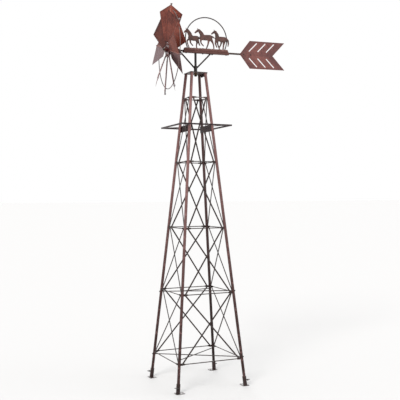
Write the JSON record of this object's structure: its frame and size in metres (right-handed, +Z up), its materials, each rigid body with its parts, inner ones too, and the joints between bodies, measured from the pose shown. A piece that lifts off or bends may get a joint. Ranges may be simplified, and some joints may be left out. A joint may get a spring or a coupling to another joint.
{
  "type": "garden windmill",
  "caption": "Free-standing garden windmill: tapering lattice tower, yawing head with tail vane and running horses under an arch, and a spinning wheel of kite-shaped blades with a wire hoop.",
  "frame": {"origin": "centre of the ground stake circle, on the ground under the tower axis", "axes": "+Z up along the tower; +X and +Y square to the tower's faces, with the tail at rest close to +X"},
  "size_m": [0.8876, 0.5555, 2.4201],
  "materials": {
    "leg_paint": "dark brown hammered enamel, worn",
    "foot_paint": "dark brown enamel",
    "screw_dark": "dark oxide fasteners",
    "rod_paint": "grey brown enamel rod",
    "platform_paint": "dark brown enamel",
    "plate_paint": "pale grey brown enamel",
    "collar_dark": "near black enamel",
    "bearing": "turned bearing metal",
    "saddle_paint": "red brown enamel",
    "horse_bronze": "dark bronze with brown highlights",
    "rust_sheet": "mottled rust patina on sheet",
    "hub_paint": "dark rust patina"
  },
  "bodies": {
    "tower": {"foot_1": "foot_paint", "foot_2": "foot_paint", "foot_3": "foot_paint", "foot_4": "foot_paint", "foot_screws": "screw_dark", "leg_lower_1": "leg_paint", "leg_lower_2": "leg_paint", "leg_lower_3": "leg_paint", "leg_lower_4": "leg_paint", "leg_upper_1": "leg_paint", "leg_upper_2": "leg_paint", "leg_upper_3": "leg_paint", "leg_upper_4": "leg_paint", "tie_rods_1": "rod_paint", "tie_rods_2": "rod_paint", "tie_rods_3": "rod_paint", "tie_rods_4": "rod_paint", "tie_rods_5": "rod_paint", "braces_bay_1": "rod_paint", "braces_bay_2": "rod_paint", "braces_bay_3": "rod_paint", "braces_bay_4": "rod_paint", "cross_rods": "rod_paint", "tower_bolts": "screw_dark", "platform_frame": "platform_paint", "platform_plates": "platform_paint", "top_plate": "plate_paint", "pivot_bush": "bearing", "thrust_washer": "bearing"},
    "head": {"pivot_post": "collar_dark", "post_collar": "collar_dark", "post_clip": "screw_dark", "boom": "rod_paint", "saddle_upper": "saddle_paint", "saddle_lower": "saddle_paint", "strut_front": "rod_paint", "strut_rear": "rod_paint", "head_bolts": "screw_dark", "arch": "rod_paint", "horse_1": "horse_bronze", "horse_2": "horse_bronze", "horse_3": "horse_bronze", "tail_vane": "rust_sheet", "vane_bolts": "screw_dark", "axle_nut": "screw_dark"},
    "wheel": {"hub_barrel": "hub_paint", "hub_plate_front": "hub_paint", "hub_plate_rear": "hub_paint", "hub_bolts": "screw_dark", "hub_bushes": "bearing", "spokes": "rod_paint", "hoop": "rod_paint", "blade_1": "rust_sheet", "blade_2": "rust_sheet", "blade_3": "rust_sheet", "blade_4": "rust_sheet", "blade_5": "rust_sheet", "blade_6": "rust_sheet", "blade_7": "rust_sheet", "blade_8": "rust_sheet"}
  },
  "joints": [
    {"name": "head_yaw", "type": "hinge", "parent": "tower", "child": "head", "pos_m": [0, 0, 2], "axis": [0, 0, 1], "continuous": true},
    {"name": "wheel_spin", "type": "hinge", "parent": "head", "child": "wheel", "pos_m": [-0.18306, 0.01859, 2.141], "axis": [0.9949, -0.1011, 0], "continuous": true}
  ]
}
